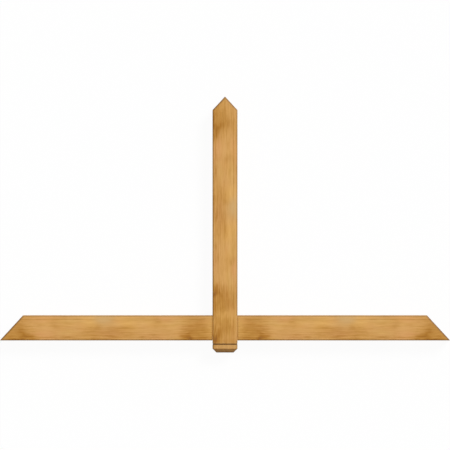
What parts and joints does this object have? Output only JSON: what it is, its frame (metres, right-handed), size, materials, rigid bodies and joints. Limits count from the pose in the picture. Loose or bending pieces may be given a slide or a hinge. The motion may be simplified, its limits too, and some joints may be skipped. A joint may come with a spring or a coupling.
{
  "type": "timber gable bracket",
  "caption": "Timber gable bracket: an upright king post with a level beam tenoned into each side, its ends cut to the roof pitch, to fill the peak of a gable.",
  "frame": {"origin": "bottom centre of the bounding box: on the floor under the bracket's back face, on the post's centre line, halfway between the peak and the foot", "axes": "+X along the beams to the right of the show face, +Y up the post towards the peak, +Z out of the show face; the bracket lies on its back"},
  "size_m": [1.8288, 1.0398, 0.1016],
  "materials": {
    "timber": "planed and sanded, clear honey stain, satin"
  },
  "bodies": {
    "root": {"king_post": "timber", "left_beam": "timber", "right_beam": "timber"}
  },
  "joints": []
}
